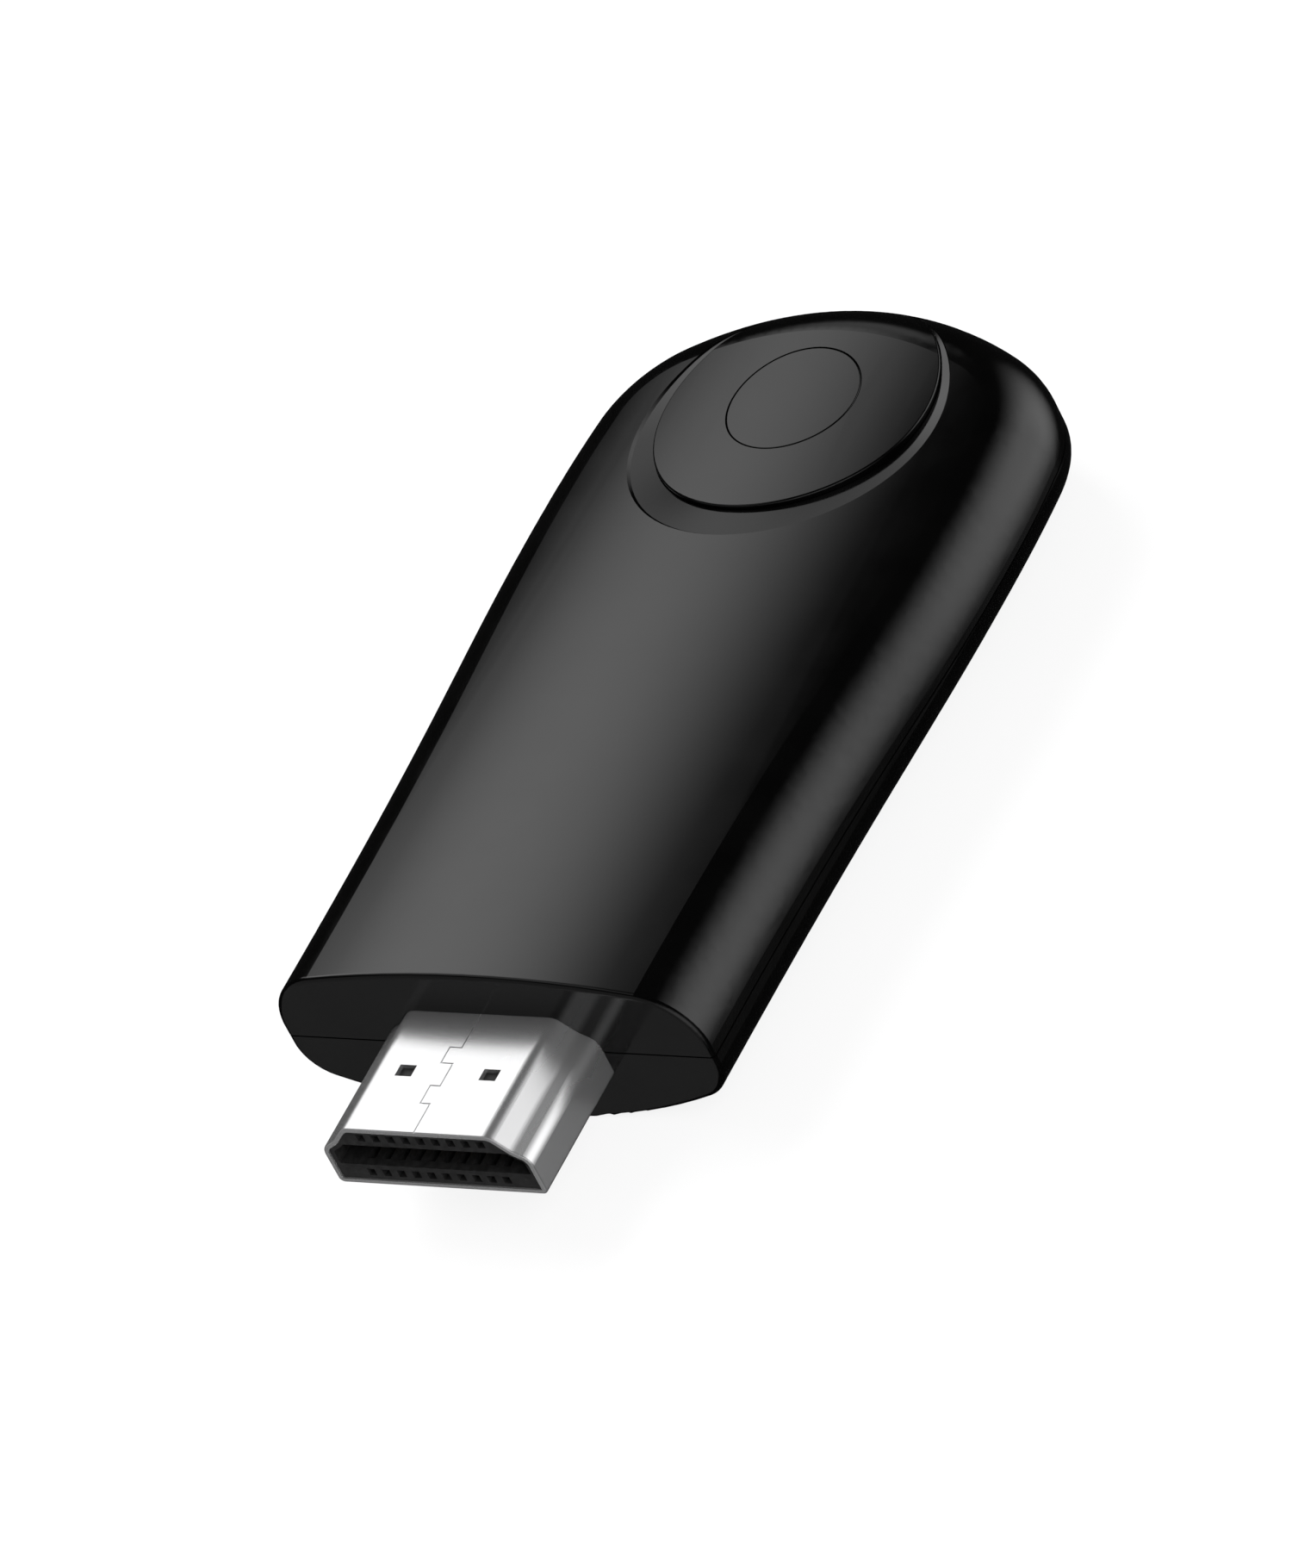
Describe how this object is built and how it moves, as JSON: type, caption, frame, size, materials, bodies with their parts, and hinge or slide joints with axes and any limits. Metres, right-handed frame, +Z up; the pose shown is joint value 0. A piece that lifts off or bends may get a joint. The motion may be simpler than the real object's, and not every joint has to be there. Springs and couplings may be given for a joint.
{
  "type": "wireless display dongle",
  "caption": "Palm-sized screen receiver: rounded black two-part casing with a steel plug at one end, a disc with a push button on its crown and a power inlet in its rear end.",
  "frame": {"origin": "middle of the plug where it leaves the casing's front face", "axes": "+X to the right, +Y from the plug towards the rounded rear end, +Z up through the crown"},
  "size_m": [0.0316, 0.0646, 0.0111],
  "materials": {
    "casing": "polished black moulding",
    "disc": "polished black moulding, a touch softer",
    "plug_steel": "bright nickel plate on folded steel",
    "contact_block": "black glass-filled moulding",
    "contact_gold": "thin gold plate",
    "board": "green solder mask",
    "chip": "black moulded package",
    "shield": "tinned steel sheet",
    "ceramic_body": "fired ceramic with tinned ends",
    "resistor_body": "glazed film on ceramic",
    "ferrite": "moulded ferrite",
    "spreader": "plain rolled aluminium",
    "pad": "soft filled silicone",
    "spring_steel": "bright stamped steel",
    "switch_black": "black moulding"
  },
  "bodies": {
    "casing": {"upper_cover": "casing", "lower_cover": "casing", "disc_cap": "disc", "hdmi_shell": "plug_steel", "hdmi_insulator": "contact_block", "hdmi_upper_contacts": "contact_gold", "hdmi_lower_contacts": "contact_gold", "usb_shell": "plug_steel", "usb_tongue": "contact_block", "usb_contacts": "contact_gold", "main_board": "board", "processor": "chip", "memory_chip": "chip", "flash_chip": "chip", "wifi_module": "board", "radio_can": "shield", "chip_antenna": "ceramic_body", "crystal": "spring_steel", "power_regulator": "chip", "power_inductors": "ferrite", "capacitors": "ceramic_body", "resistors": "resistor_body", "thermal_pad": "pad", "heat_spreader": "spreader", "switch_base": "switch_black", "switch_frame": "spring_steel", "switch_dome": "spring_steel"},
    "button": {"mode_button": "disc"},
    "plunger": {"switch_plunger": "switch_black"}
  },
  "joints": [
    {"name": "button_press", "type": "slide", "parent": "casing", "child": "button", "axis": [0, 0, -1], "range_m": [0, 0.00025], "stiffness_N_per_m": 1200, "springref_m": -0.0001},
    {"name": "plunger_press", "type": "slide", "parent": "casing", "child": "plunger", "axis": [0, 0, -1], "range_m": [0, 0.00025], "deforming": ["switch_dome"]}
  ],
  "couplings": [
    {"joint": "plunger_press", "follows": "button_press", "ratio": 1}
  ]
}
